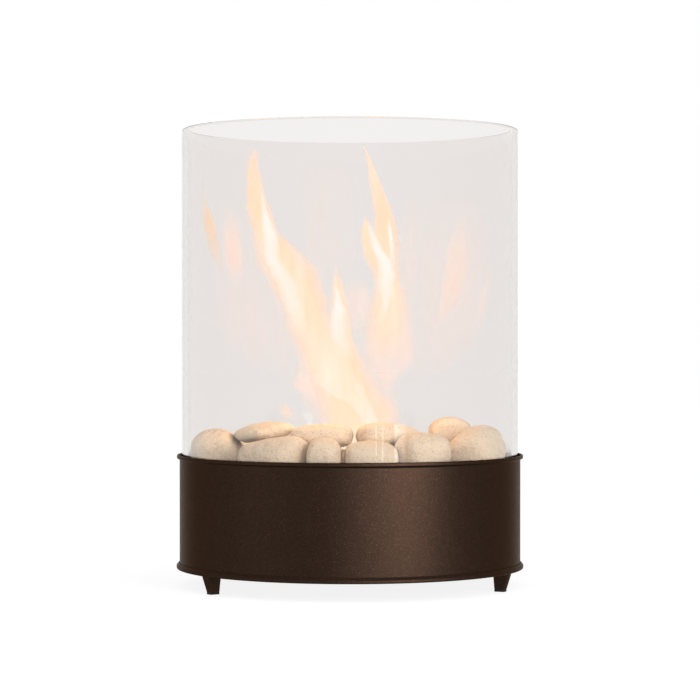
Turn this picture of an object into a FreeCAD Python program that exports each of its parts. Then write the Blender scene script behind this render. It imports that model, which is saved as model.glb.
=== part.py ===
"""Tabletop bioethanol fireplace: a glass cylinder on a low steel drum, with a burner in a ring of pebbles.

Millimetres, +Z up. The origin is on the table, on the axis of the drum. The front is at -Y.
A bearing is an angle round the axis in degrees, from the front towards +X.
The drum, its base plate, the ledge inside it and the feet are one fixed assembly. The tray with its
pebbles lifts out of the drum, and the glass and the burner lift off the tray.
"""
import FreeCAD, Part
import math
import os
import random

V = FreeCAD.Vector

# Driving dimensions
total_height = 320.5
drum_radius = 120.0          # outside of the drum's wall
drum_lip_top = 92.2
sheet = 0.8                  # steel sheet of the drum, ledge and tray

foot_height = 12.4           # the table to the underside of the base plate
foot_bearings = (-60.0, 60.0, 180.0)
foot_setback = 4.8           # the drum's wall to the middle of a foot
foot_top_depth = 11.2        # along the radius
foot_top_width = 8.0         # across it
foot_tip_depth = 7.5
foot_tip_width = 5.8
foot_tip_inset = 1.3         # the tip stands this much nearer the axis than the top
foot_corner = 1.2
pad_thickness = 1.5

lip_reach = 1.9              # how far the rolled lip stands out from the wall
lip_height = 4.5
lip_bead = 1.6               # thickness of the folded edge
seam_reach = 2.2             # how far the bottom seam stands out from the wall
seam_height = 4.2
seam_gap = 0.1

screw_radius = 2.0
screw_head_radius = 3.6
screw_head_height = 2.4
screw_length = 9.0
screw_play = 0.1             # between the screw and its tapped hole, on the radius
plate_hole_play = 0.3        # between the screw and the hole in the base plate
tapped_depth = 8.0

tray_level = 78.0            # top face of the tray
tray_play = 0.6              # between the tray's edge and the drum's wall
ledge_reach = 11.2
ledge_drop = 11.2

glass_wall = 4.0
glass_play = 0.9             # between the glass and the drum's wall
glass_edge = 1.4             # radius of the fire-polished edges
gasket_thickness = 1.5
gasket_reach = 1.8           # how far the gasket shows inside the glass

pot_radius = 38.0
pot_wall = 1.0
pot_floor_level = 28.0
pot_rim_above_tray = 6.0
pot_corner = 5.0
pot_play = 1.5               # between the pot and the tray's hole
flange_reach = 6.0
flange_thickness = 1.2
burner_opening = 30.0        # radius of the hole in the top ring
top_ring_sheet = 1.0
top_ring_skirt = 3.6
top_ring_play = 0.1
wool_play = 0.6
wool_corner = 4.0
retainer_drop = 5.2          # the pot's rim down to the perforated cap on the wool
retainer_sheet = 0.8
retainer_rim = 4.0
retainer_hole = 1.5          # radius of one hole of the perforated disc
retainer_pitch = 5.6         # from one ring of holes to the next
retainer_rings = 5

bead_width = 9.0             # pressed stiffening beads in the tray and the base plate
bead_depth = 1.6

stone_length = 50.0          # a typical pebble, of which the lists of pebbles give shares
stone_gap = 0.8              # from a pebble's room to the glass, the burner's flange and the next room
stone_rest = 0.25            # from a pebble to what it lies on
stone_crown = 1.0            # a pebble's middle keeps this much off its room's ends, for its shoulders
stone_settled = 0.04         # a pebble that is laid on others stops this near its resting place
ring_share = 0.435           # share of the bed's width that the inner ring takes

# Places that follow from the driving dimensions
drum_inside = drum_radius - sheet
foot_centre_radius = drum_radius - foot_setback
plate_top = foot_height + sheet
tray_underside = tray_level - sheet
glass_outside = drum_inside - glass_play
glass_inside = glass_outside - glass_wall
gasket_top = tray_level + gasket_thickness
flange_radius = pot_radius + flange_reach
pot_rim_level = tray_level + pot_rim_above_tray
retainer_top = pot_rim_level - retainer_drop
wool_top = retainer_top - retainer_sheet
wool_radius = pot_radius - pot_wall - wool_play - retainer_sheet
bed_inside = flange_radius + stone_gap
bed_outside = glass_inside - stone_gap
bed_split = bed_inside + ring_share * (bed_outside - bed_inside)


def around(bearing, radius, level=0.0):
    """The point at a bearing, a radius and a height."""
    turn = math.radians(bearing)
    return V(radius * math.sin(turn), -radius * math.cos(turn), level)


def outline(points):
    """A closed face in the XZ plane through (radius, level) points.

    A point with a third number is the middle of an arc from the point before it to the point after it.
    """
    edges = []
    count = len(points)
    i = 0
    while i < count:
        here = points[i]
        nearby = points[(i + 1) % count]
        start = V(here[0], 0, here[1])
        if len(nearby) == 3:
            after = points[(i + 2) % count]
            edges.append(Part.Arc(start, V(nearby[0], 0, nearby[1]), V(after[0], 0, after[1])).toShape())
            i += 2
        else:
            edges.append(Part.LineSegment(start, V(nearby[0], 0, nearby[1])).toShape())
            i += 1
    return Part.Face(Part.Wire(edges))


def turned(points):
    """The solid that a section makes when it is turned round the axis."""
    return outline(points).revolve(V(0, 0, 0), V(0, 0, 1), 360)


def bend(corner_x, corner_z, radius, side_x, side_z):
    """The middle point of a quarter arc that rounds a corner, whose centre lies to the given sides."""
    middle = radius * (1 - math.sqrt(0.5))
    return (corner_x + side_x * middle, corner_z + side_z * middle, "arc")


def bead(middle, level, direction):
    """The points of a pressed bead in one face of a sheet, from the side nearer the axis outwards."""
    return [
        (middle - bead_width / 2, level),
        (middle, level + direction * bead_depth, "arc"),
        (middle + bead_width / 2, level),
    ]


def make_base_band():
    """The drum's rolled wall, with its folded lip at the top and its turned-out flange at the bottom."""
    wall = drum_radius
    inside = drum_inside
    top = drum_lip_top
    lip = wall + lip_reach
    start = top - lip_height
    bead_inside = lip - lip_bead
    under = top - 0.6 * lip_height
    flange_top = plate_top + sheet
    return turned([
        (inside, plate_top),
        (wall + seam_reach - sheet - seam_gap, plate_top),
        (wall + seam_reach - sheet - seam_gap, flange_top),
        (wall, flange_top),
        (wall, start),
        (wall + 0.15 * lip_reach, (start + under) / 2, "arc"),
        (wall + 0.45 * lip_reach, under),
        (lip - 0.15 * lip_bead, under + 0.02 * lip_height, "arc"),
        (lip, under + 0.2 * lip_height),
        (lip, top - lip_bead / 2),
        (lip - lip_bead / 2, top, "arc"),
        (bead_inside, top - lip_bead / 2),
        (inside + 0.35 * (bead_inside - inside), (start + top) / 2 - 0.1 * lip_height, "arc"),
        (inside, start),
    ])


def make_bottom_plate():
    """The base plate, with a pressed stiffening bead and a hem that clasps the drum's flange."""
    edge = drum_radius + seam_reach
    hem_top = foot_height + seam_height
    turn = foot_height + 0.55 * seam_height
    inner_turn = turn - 0.3 * sheet
    corner = sheet
    middle = 0.62 * drum_radius
    plate = turned(
        [(0, foot_height)]
        + bead(middle, foot_height, 1)
        + [
            (edge - corner, foot_height),
            bend(edge, foot_height, corner, -1, 1),
            (edge, foot_height + corner),
            (edge, turn),
            (drum_radius + seam_gap + 0.5 * sheet, hem_top),
            (drum_radius + seam_gap, hem_top - 0.5 * sheet),
            (edge - sheet, inner_turn),
            (edge - sheet, plate_top),
        ]
        + bead(middle, plate_top, 1)[::-1]
        + [(0, plate_top)]
    )
    for bearing in foot_bearings:
        hole = Part.makeCylinder(screw_radius + plate_hole_play, 3 * sheet,
                                 around(bearing, foot_centre_radius, foot_height - sheet))
        plate = plate.cut(hole)
    return plate


def make_support_ring():
    """The ledge that carries the tray: a ring of angle section, spot-welded inside the wall."""
    inner = drum_inside - ledge_reach
    top = tray_underside
    corner = 2 * sheet
    return turned([
        (drum_inside, top - ledge_drop),
        (drum_inside, top - corner),
        bend(drum_inside, top, corner, -1, -1),
        (drum_inside - corner, top),
        (inner, top),
        (inner, top - sheet),
        (drum_inside - corner, top - sheet),
        bend(drum_inside - sheet, top - sheet, corner - sheet, -1, -1),
        (drum_inside - sheet, top - corner),
        (drum_inside - sheet, top - ledge_drop),
    ])


def rounded_rectangle(bearing, radius, depth, width, corner, level):
    """A wire of four lines and four arcs, square to the radius at a bearing."""
    half_depth = depth / 2
    half_width = width / 2
    reach = corner * (1 - math.sqrt(0.5))

    def place(along, across):
        point = V(across, -(radius + along), level)
        return FreeCAD.Rotation(V(0, 0, 1), bearing).multVec(point)

    edges = []
    corners = [(1, 1), (-1, 1), (-1, -1), (1, -1)]
    for i, (side, turn) in enumerate(corners):
        next_side, next_turn = corners[(i + 1) % 4]
        before = place(side * half_depth - (side * corner if side != turn else 0),
                       turn * half_width - (turn * corner if side == turn else 0))
        after = place(side * half_depth - (side * corner if side == turn else 0),
                      turn * half_width - (turn * corner if side != turn else 0))
        middle = place(side * (half_depth - reach), turn * (half_width - reach))
        begin = place(next_side * half_depth - (next_side * corner if next_side != next_turn else 0),
                      next_turn * half_width - (next_turn * corner if next_side == next_turn else 0))
        edges.append(Part.Arc(before, middle, after).toShape())
        edges.append(Part.LineSegment(after, begin).toShape())
    return Part.Wire(edges)


def make_foot(bearing):
    """A cast foot that tapers downwards, most on its outer face, with a tapped hole from above."""
    top = rounded_rectangle(bearing, foot_centre_radius, foot_top_depth, foot_top_width, foot_corner, foot_height)
    tip = rounded_rectangle(bearing, foot_centre_radius - foot_tip_inset, foot_tip_depth, foot_tip_width,
                            foot_corner, pad_thickness)
    body = Part.makeLoft([tip, top], True, True)
    hole = Part.makeCylinder(screw_radius + screw_play, tapped_depth,
                             around(bearing, foot_centre_radius, foot_height - tapped_depth))
    return body.cut(hole)


def make_pad(bearing):
    """The rubber pad under a foot."""
    face = Part.Face(rounded_rectangle(bearing, foot_centre_radius - foot_tip_inset, foot_tip_depth,
                                       foot_tip_width, foot_corner, 0))
    return face.extrude(V(0, 0, pad_thickness))


def make_screw(bearing):
    """A pan-head screw that holds a foot, with its head on the base plate inside the drum."""
    head_top = plate_top + screw_head_height
    edge = 0.45 * screw_head_height
    tip = plate_top - screw_length + sheet
    screw = turned([
        (0, tip),
        (screw_radius, tip),
        (screw_radius, plate_top),
        (screw_head_radius, plate_top),
        (screw_head_radius, plate_top + edge),
        (0.72 * screw_head_radius, plate_top + 0.9 * screw_head_height, "arc"),
        (0.3 * screw_head_radius, head_top),
        (0, head_top),
    ])
    screw.translate(around(bearing, foot_centre_radius))
    return screw


def make_tray():
    """The round tray that carries the pebbles, with a hole for the burner and two beads pressed down."""
    hole = pot_radius + pot_play
    edge = drum_inside - tray_play
    ledge_inside = drum_inside - ledge_reach
    first = hole + 0.28 * (ledge_inside - hole)
    second = hole + 0.74 * (ledge_inside - hole)
    return turned(
        [(hole, tray_underside)]
        + bead(first, tray_underside, -1)
        + bead(second, tray_underside, -1)
        + [(edge, tray_underside), (edge, tray_level)]
        + bead(second, tray_level, -1)[::-1]
        + bead(first, tray_level, -1)[::-1]
        + [(hole, tray_level)]
    )


def make_gasket():
    """The flat ring that the glass stands on."""
    return turned([
        (glass_inside - gasket_reach, tray_level),
        (glass_outside, tray_level),
        (glass_outside, gasket_top),
        (glass_inside - gasket_reach, gasket_top),
    ])


def make_glass():
    """The glass cylinder, open at both ends, with fire-polished edges."""
    low = gasket_top
    high = total_height
    edge = glass_edge
    return turned([
        (glass_inside, low + edge),
        bend(glass_inside, low, edge, 1, 1),
        (glass_inside + edge, low),
        (glass_outside - edge, low),
        bend(glass_outside, low, edge, -1, 1),
        (glass_outside, low + edge),
        (glass_outside, high - edge),
        bend(glass_outside, high, edge, -1, -1),
        (glass_outside - edge, high),
        (glass_inside + edge, high),
        bend(glass_inside, high, edge, 1, -1),
        (glass_inside, high - edge),
    ])


def make_pot():
    """The burner's deep-drawn pot."""
    outer = pot_radius
    inner = pot_radius - pot_wall
    low = pot_floor_level
    return turned([
        (0, low),
        (outer - pot_corner, low),
        bend(outer, low, pot_corner, -1, 1),
        (outer, low + pot_corner),
        (outer, pot_rim_level),
        (inner, pot_rim_level),
        (inner, low + pot_corner),
        bend(inner, low + pot_wall, pot_corner - pot_wall, -1, 1),
        (outer - pot_corner, low + pot_wall),
        (0, low + pot_wall),
    ])


def make_flange():
    """The ring welded round the pot, which hangs it in the tray."""
    edge = 0.4 * flange_thickness
    top = tray_level + flange_thickness
    return turned([
        (pot_radius, tray_level),
        (flange_radius, tray_level),
        (flange_radius, top - edge),
        bend(flange_radius, top, edge, -1, -1),
        (flange_radius - edge, top),
        (pot_radius, top),
    ])


def make_top_ring():
    """The ring that closes in the pot's mouth, with a skirt outside the rim and a turned-in edge."""
    low = pot_rim_level
    top = low + top_ring_sheet
    skirt_inside = pot_radius + top_ring_play
    skirt_outside = skirt_inside + top_ring_sheet
    corner = top_ring_sheet
    edge = burner_opening + top_ring_sheet
    return turned([
        (burner_opening, low - top_ring_sheet),
        (edge, low - top_ring_sheet),
        (edge, low),
        (skirt_inside, low),
        (skirt_inside, low - top_ring_skirt),
        (skirt_outside, low - top_ring_skirt),
        (skirt_outside, top - corner),
        bend(skirt_outside, top, corner, -1, -1),
        (skirt_outside - corner, top),
        (burner_opening + corner, top),
        bend(burner_opening, top, corner, 1, -1),
        (burner_opening, top - corner),
    ])


def make_wool():
    """The block of ceramic wool that soaks up the fuel."""
    radius = wool_radius
    low = pot_floor_level + pot_wall
    edge = wool_corner
    return turned([
        (0, low),
        (radius - edge, low),
        bend(radius, low, edge, -1, 1),
        (radius, low + edge),
        (radius, wool_top),
        (0, wool_top),
    ])


def make_retainer():
    """The perforated cap on the wool, with rings of round holes and a turned-down rim."""
    inside = wool_radius
    outside = inside + retainer_sheet
    low = wool_top
    top = retainer_top
    cap = turned([
        (0, low),
        (inside, low),
        (inside, top - retainer_rim),
        (outside, top - retainer_rim),
        (outside, low),
        bend(outside, top, retainer_sheet, -1, -1),
        (inside, top),
        (0, top),
    ])
    cutters = [Part.makeCylinder(retainer_hole, 3 * retainer_sheet, V(0, 0, low - retainer_sheet))]
    for ring in range(1, retainer_rings + 1):
        radius = ring * retainer_pitch
        holes = 6 * ring
        for k in range(holes):
            place = around(360.0 * k / holes, radius, low - retainer_sheet)
            cutters.append(Part.makeCylinder(retainer_hole, 3 * retainer_sheet, place))
    return cap.cut(cutters)


# A pebble is one closed surface through rings of poles from end to end: how far along, and how wide.
pebble_rings = [(-1.0, 0.0), (-1.0, 0.66), (-0.74, 1.04), (0.0, 1.16), (0.74, 1.04), (1.0, 0.66), (1.0, 0.0)]
poles_around = 9
fullness = 3.3               # 2 is an oval section, and more is a fuller one
unevenness = 0.06            # how far a pole may stray, as a share
flats = 5                    # worn flat places on a pebble
flat_levels = (0.78, 0.92)   # how near the middle they lie, as a share of the pebble's reach
probe_steps = 26             # points each way that measure a pebble
lowering_steps = 14
outer_seed = 11              # the seeds make each pebble its own, and the same in each build
inner_seed = 41
upper_seed = 71


def pebble_surface(rows):
    """A smooth surface that is closed round its rows of poles and drawn together at both ends."""
    surface = Part.BSplineSurface()
    along = [float(k) for k in range(len(rows) - 2)]
    ends = [4] + [1] * (len(along) - 2) + [4]
    turns = [float(k) for k in range(poles_around + 1)]
    surface.buildFromPolesMultsKnots(rows, ends, [1] * (poles_around + 1), along, turns, False, True, 3, 3)
    return surface


def pebble_solid(rows):
    """The solid inside a pebble's surface, sewn from four patches: half its length by half its girth each."""
    surface = pebble_surface(rows)
    last = len(rows) - 3
    lengths = (0, last / 2, last)
    girths = (0, poles_around / 2, poles_around)
    patches = []
    for begin, end in zip(lengths, lengths[1:]):
        for first, second in zip(girths, girths[1:]):
            patch = surface.copy()
            patch.segment(begin, end, first, second)
            patches.append(patch.toShape())
    skin = Part.makeShell(patches)
    skin.sewShape()
    return Part.Solid(skin)


def probes(rows):
    """Points all over a pebble's surface."""
    surface = pebble_surface(rows)
    last = len(rows) - 3
    points = []
    for i in range(probe_steps + 1):
        for j in range(probe_steps):
            points.append(surface.value(last * i / probe_steps, poles_around * j / probe_steps))
    return points


def worn(rows, pick):
    """The poles with one side of the pebble rubbed flat, square to a direction picked at random."""
    slope = pick.uniform(-0.6, 0.6)
    turn = pick.uniform(0, 2 * math.pi)
    facing = V(slope, math.cos(turn), math.sin(turn)).normalize()
    reach = max(p.dot(facing) for row in rows for p in row)
    level = pick.uniform(*flat_levels) * reach
    return [[p - facing * max(0.0, p.dot(facing) - level) for p in row] for row in rows]


def lumpy_rows(length, width, height, seed):
    """The poles of an uneven, rounded pebble that lies along X, at its real size about the origin."""
    pick = random.Random(seed)
    blunt_end = pick.uniform(-0.14, 0.14)
    rows = []
    for along, swell in pebble_rings:
        ring_swell = swell * (1 + blunt_end * along + pick.uniform(-unevenness, unevenness))
        rise = pick.uniform(-0.10, 0.10) * (1 - abs(along) * 0.3)
        drift = pick.uniform(-0.08, 0.08)
        row = []
        for k in range(poles_around):
            turn = 2 * math.pi * k / poles_around
            across = math.cos(turn)
            up = math.sin(turn)
            full = (abs(across) ** fullness + abs(up) ** fullness) ** (-1 / fullness)
            bump = ring_swell * full * (1 + pick.uniform(-unevenness, unevenness))
            lift = 0.0 if swell == 0 else rise
            shift = 0.0 if swell == 0 else drift
            row.append(V(along, bump * across + shift, bump * up + lift))
        rows.append(row)
    for _ in range(flats):
        rows = worn(rows, pick)
    points = probes(rows)
    low = V(min(p.x for p in points), min(p.y for p in points), min(p.z for p in points))
    high = V(max(p.x for p in points), max(p.y for p in points), max(p.z for p in points))
    middle = (low + high) * 0.5
    span = high - low
    scale = V(length / span.x, width / span.y, height / span.z)
    return [[V((p.x - middle.x) * scale.x, (p.y - middle.y) * scale.y, (p.z - middle.z) * scale.z)
             for p in row] for row in rows]


def tipped(rows, yaw, tilt, roll):
    """The poles turned about Z by yaw, about Y by tilt and about X by roll, in degrees."""
    spin = FreeCAD.Rotation(yaw, tilt, roll)
    return [[spin.multVec(p) for p in row] for row in rows]


def make_pebble(bearing, half_angle, near, far, lean, size, attitude, seed):
    """A pebble in its own room: a wedge of the bed between two radii, half_angle to each side of a bearing.

    Its size is in shares of a typical pebble's length, and less where its room is smaller. Lean is 0
    where it lies against the near side of the room, and 1 against the far side. It rests on the tray.
    """
    length, width, height = [share * stone_length for share in size]
    room_width = far - near - stone_crown
    width = min(width, room_width)
    rows = tipped(lumpy_rows(length, width, height, seed), *attitude)
    points = probes(rows)
    low = min(p.y for p in points)
    high = max(p.y for p in points)
    squeeze = min(1.0, room_width / (high - low))
    centre = near - low * squeeze + lean * (room_width - (high - low) * squeeze)
    side = math.radians(half_angle)
    stretch = 1.0
    for p in points:
        if abs(p.x) > stone_crown:
            reach = centre + p.y * squeeze
            room = math.tan(side) * reach - stone_gap / 2 / math.cos(side)
            chord = math.sqrt(max(far * far - reach * reach, stone_crown * stone_crown))
            stretch = min(stretch, room / abs(p.x), chord / abs(p.x))
    floor = min(p.z for p in points)
    spin = FreeCAD.Rotation(V(0, 0, 1), bearing)
    placed = []
    for row in rows:
        moved = [V(p.x * stretch, -(centre + p.y * squeeze), p.z - floor + tray_level + stone_rest) for p in row]
        placed.append([spin.multVec(p) for p in moved])
    return pebble_solid(placed)


def lowered(pebble, others):
    """The pebble set down from above on to the others, until it all but touches one."""
    bed = Part.makeCompound(others)
    ceiling = max(other.BoundBox.ZMax for other in others)
    pebble.translate(V(0, 0, ceiling - pebble.BoundBox.ZMin + stone_rest))
    for _ in range(lowering_steps):
        room = pebble.distToShape(bed)[0] - stone_rest
        if room < stone_settled:
            break
        pebble.translate(V(0, 0, -room))
    return pebble


# Each pebble: bearing, half angle of its room, lean, (length, width, height), (yaw, tilt, roll).
outer_pebbles = [
    (3.3, 11.3, 1.0, (0.98, 0.74, 0.55), (0, 1, -3)),
    (25.4, 10.8, 0.6, (0.84, 0.74, 0.66), (0, -2, 4)),
    (62.5, 22.0, 1.0, (1.14, 0.76, 0.67), (0, -8, 16)),
    (100.5, 15.5, 0.8, (1.04, 0.70, 0.47), (3, 2, -2)),
    (132.0, 15.8, 0.9, (1.08, 0.68, 0.49), (-2, -3, 2)),
    (164.3, 16.3, 0.7, (1.00, 0.72, 0.52), (2, 2, 3)),
    (197.5, 16.5, 0.9, (1.06, 0.66, 0.48), (-3, -2, -3)),
    (231.0, 16.5, 0.8, (0.98, 0.70, 0.51), (2, 3, 2)),
    (270.5, 22.5, 1.0, (1.08, 0.76, 0.645), (0, 2, -4)),
    (321.2, 15.8, 0.9, (1.02, 0.74, 0.61), (0, 2, 3)),
    (344.5, 7.5, 0.4, (0.64, 0.64, 0.59), (0, 2, 0)),
]
inner_pebbles = [
    (39.5, 21.5, 0.5, (0.88, 0.58, 0.41), (3, 2, 2)),
    (84.5, 21.5, 0.4, (0.90, 0.56, 0.42), (-3, -2, -2)),
    (129.5, 21.5, 0.6, (0.86, 0.58, 0.43), (2, 2, 3)),
    (174.5, 21.5, 0.5, (0.90, 0.56, 0.47), (-2, 3, -2)),
    (219.5, 21.5, 0.5, (0.84, 0.58, 0.45), (3, -2, 2)),
    (264.5, 21.5, 0.6, (0.88, 0.56, 0.46), (-3, 2, 2)),
    (309.5, 21.5, 0.4, (0.86, 0.58, 0.41), (2, -2, -3)),
    (354.5, 21.5, 0.5, (0.90, 0.56, 0.40), (-2, 2, 2)),
]
# The upper pebbles reach outwards past the inner ring, by a share of the bed's width.
upper_pebbles = [
    (19.3, 21.2, 0.50, (1.04, 0.66, 0.35), (2, 2, 2)),
    (91.0, 20.0, 0.60, (0.74, 0.60, 0.43), (-6, 3, 3)),
    (292.0, 22.0, 0.58, (0.90, 0.76, 0.28), (4, -4, -5)),
    (336.3, 21.3, 0.48, (0.96, 0.62, 0.35), (-2, -2, -2)),
]


def make_pebbles():
    """All pebbles by name: the two rings on the tray, then the upper ones laid on them."""
    pebbles = {}
    bed_width = bed_outside - bed_inside
    for i, (bearing, half_angle, lean, size, attitude) in enumerate(outer_pebbles):
        pebbles["outer_stone_%02d" % (i + 1)] = make_pebble(
            bearing, half_angle, bed_split + stone_gap / 2, bed_outside, lean, size, attitude,
            outer_seed + i)
    for i, (bearing, half_angle, lean, size, attitude) in enumerate(inner_pebbles):
        pebbles["inner_stone_%02d" % (i + 1)] = make_pebble(
            bearing, half_angle, bed_inside, bed_split - stone_gap / 2, lean, size, attitude,
            inner_seed + i)
    below = list(pebbles.values())
    for i, (bearing, half_angle, reach, size, attitude) in enumerate(upper_pebbles):
        pebble = make_pebble(bearing, half_angle, bed_inside, bed_inside + reach * bed_width + stone_crown, 1.0,
                             size, attitude, upper_seed + i)
        pebbles["upper_stone_%02d" % (i + 1)] = lowered(pebble, below)
    return pebbles


def make_all():
    """Every sub-part by the name of its node."""
    parts = {
        "base_band": make_base_band(),
        "bottom_plate": make_bottom_plate(),
        "support_ring": make_support_ring(),
        "foot_screws": Part.makeCompound([make_screw(bearing) for bearing in foot_bearings]),
        "stone_tray": make_tray(),
        "glass_seat_gasket": make_gasket(),
        "glass_cylinder": make_glass(),
        "burner_pot": make_pot(),
        "burner_flange": make_flange(),
        "burner_top_ring": make_top_ring(),
        "ceramic_wool": make_wool(),
        "wool_retainer": make_retainer(),
    }
    for name, bearing in zip(("front_left", "front_right", "rear"), foot_bearings):
        parts[name + "_foot"] = make_foot(bearing)
        parts[name + "_pad"] = make_pad(bearing)
    parts.update(make_pebbles())
    return parts


os.makedirs("parts", exist_ok=True)
for name, shape in make_all().items():
    shape.exportStep("parts/" + name + ".step")
    box = shape.BoundBox
    print("%-20s solids %d  valid %s  volume %9.0f  z %.1f to %.1f" % (
        name, len(shape.Solids), shape.isValid(), shape.Volume, box.ZMin, box.ZMax))
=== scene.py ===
# %% [markdown]
# A tabletop fireplace, dressed piece by piece.
# The real thing is a low steel drum in dark bronze paint. A tray inside it carries cream pebbles, a glass
# cylinder and a small ethanol burner, and the fire stands up inside the glass.
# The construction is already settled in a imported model, so this lesson loads that model as a fixed frame,
# keeps the pieces whose shape is right, and gives the others a finer mesh in the same place.

# %% Load the frame
import math
import bmesh
import bpy
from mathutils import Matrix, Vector, noise
from mathutils.bvhtree import BVHTree


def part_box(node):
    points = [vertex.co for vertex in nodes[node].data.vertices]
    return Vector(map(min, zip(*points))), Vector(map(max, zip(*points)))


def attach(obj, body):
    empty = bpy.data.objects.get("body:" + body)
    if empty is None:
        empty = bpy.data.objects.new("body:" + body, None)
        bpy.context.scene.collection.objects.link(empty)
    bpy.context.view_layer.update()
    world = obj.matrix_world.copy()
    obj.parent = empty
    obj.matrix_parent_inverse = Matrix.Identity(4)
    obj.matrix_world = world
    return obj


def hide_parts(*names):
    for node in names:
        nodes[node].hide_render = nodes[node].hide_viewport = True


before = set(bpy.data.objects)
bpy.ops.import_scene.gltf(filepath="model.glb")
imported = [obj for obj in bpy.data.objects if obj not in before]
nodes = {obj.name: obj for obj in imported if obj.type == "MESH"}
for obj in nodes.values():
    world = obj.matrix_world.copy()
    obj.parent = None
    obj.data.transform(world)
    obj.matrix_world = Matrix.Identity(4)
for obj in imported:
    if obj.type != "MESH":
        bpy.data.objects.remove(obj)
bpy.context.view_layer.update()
mm = 0.001

# %% [markdown]
# The camera comes first, because every later choice is judged through it.
# The photograph was taken level with the middle of the object, from far away with a long lens: the rims of
# the drum are seen a little from above and the glass's upper rim from below.
# The camera's place is worked out from how round those rims look, and it stands five degrees to the left of
# the front.

# %% Camera
scene = bpy.context.scene
camera_bearing = math.radians(-5.2)
camera_distance = 1.757
camera_height = 0.179
aim_height = 0.1656
towards_camera = Vector((math.sin(camera_bearing), -math.cos(camera_bearing), 0))
to_the_right = Vector((math.cos(camera_bearing), math.sin(camera_bearing), 0))

lens = bpy.data.cameras.new("camera")
lens.lens = 128.0
lens.sensor_width = 36.0
camera = bpy.data.objects.new("camera", lens)
camera.location = towards_camera * camera_distance + Vector((0, 0, camera_height))
camera.rotation_euler = (Vector((0, 0, aim_height)) - camera.location).to_track_quat("-Z", "Y").to_euler()
scene.collection.objects.link(camera)
scene.camera = camera
scene.view_settings.view_transform = "Standard"
print("camera at", [round(value, 3) for value in camera.location])

# %% [markdown]
# Colours are easier to choose as the 0 to 255 numbers of a picture, but a shader works in linear light.
# One small helper turns the first into the second. Three more start a material, put it on a piece, and make
# a mesh into a piece that rides on its body of the frame.

# %% Colour and material helpers


def paint(red, green, blue):
    """A picture's 0 to 255 colour as linear red, green, blue and an opaque fourth value."""
    def linear(value):
        value = value / 255
        return value / 12.92 if value <= 0.04045 else ((value + 0.055) / 1.055) ** 2.4
    return (linear(red), linear(green), linear(blue), 1.0)


def new_material(name):
    """A material with one Principled shader, and its node tree."""
    material = bpy.data.materials.new(name)
    material.use_nodes = True
    tree = material.node_tree
    tree.nodes.clear()
    shader = tree.nodes.new("ShaderNodeBsdfPrincipled")
    output = tree.nodes.new("ShaderNodeOutputMaterial")
    tree.links.new(shader.outputs["BSDF"], output.inputs["Surface"])
    return material, tree, shader


def dress(piece, material):
    """The piece wears one material all over."""
    piece.data.materials.clear()
    piece.data.materials.append(material)


def new_piece(name, mesh, body, material, *stands_for):
    """A mesh as a piece of the object: it rides on a body, wears a material and may stand for CAD nodes."""
    piece = bpy.data.objects.new(name, mesh)
    scene.collection.objects.link(piece)
    dress(piece, material)
    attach(piece, body)
    if stands_for:
        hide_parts(*stands_for)
    return piece


print("a middle grey of 128 is", round(paint(128, 128, 128)[0], 3), "in linear light")

# %% [markdown]
# The set is plain: a white surround that lights softly, and a pale floor.
# A world as bright as it looks would wash the colours out. So it is white to the camera, in reflections and
# through glass, and dimmer as a lamp. The Light Path node tells these rays apart.

# %% White surround
sky_strength = 0.8


def seen_directly(tree):
    """1 for rays from the camera, a mirror or through glass, and 0 for the light that falls on things."""
    path = tree.nodes.new("ShaderNodeLightPath")
    first = tree.nodes.new("ShaderNodeMath")
    first.operation = "MAXIMUM"
    second = tree.nodes.new("ShaderNodeMath")
    second.operation = "MAXIMUM"
    tree.links.new(path.outputs["Is Camera Ray"], first.inputs[0])
    tree.links.new(path.outputs["Is Glossy Ray"], first.inputs[1])
    tree.links.new(first.outputs[0], second.inputs[0])
    tree.links.new(path.outputs["Is Transmission Ray"], second.inputs[1])
    return second.outputs[0]


world = bpy.data.worlds.new("white surround")
world.use_nodes = True
scene.world = world
sky = world.node_tree
sky.nodes.clear()
sky_seen = sky.nodes.new("ShaderNodeBackground")
sky_seen.inputs["Color"].default_value = (1, 1, 1, 1)
sky_light = sky.nodes.new("ShaderNodeBackground")
sky_light.inputs["Color"].default_value = (1, 1, 1, 1)
sky_light.inputs["Strength"].default_value = sky_strength
sky_mix = sky.nodes.new("ShaderNodeMixShader")
sky_out = sky.nodes.new("ShaderNodeOutputWorld")
sky.links.new(seen_directly(sky), sky_mix.inputs[0])
sky.links.new(sky_light.outputs[0], sky_mix.inputs[1])
sky.links.new(sky_seen.outputs[0], sky_mix.inputs[2])
sky.links.new(sky_mix.outputs[0], sky_out.inputs["Surface"])
print("surround white to the eye, and of strength", sky_strength, "as a lamp")

# %% [markdown]
# The floor is a large pale disc. It glows by itself for the most part, so that it melts into the surround,
# but it keeps a share of its own shading, which holds the shadow under the drum. The strength of the glow is
# worked out so that the glow and the lit share together come to white.

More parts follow.
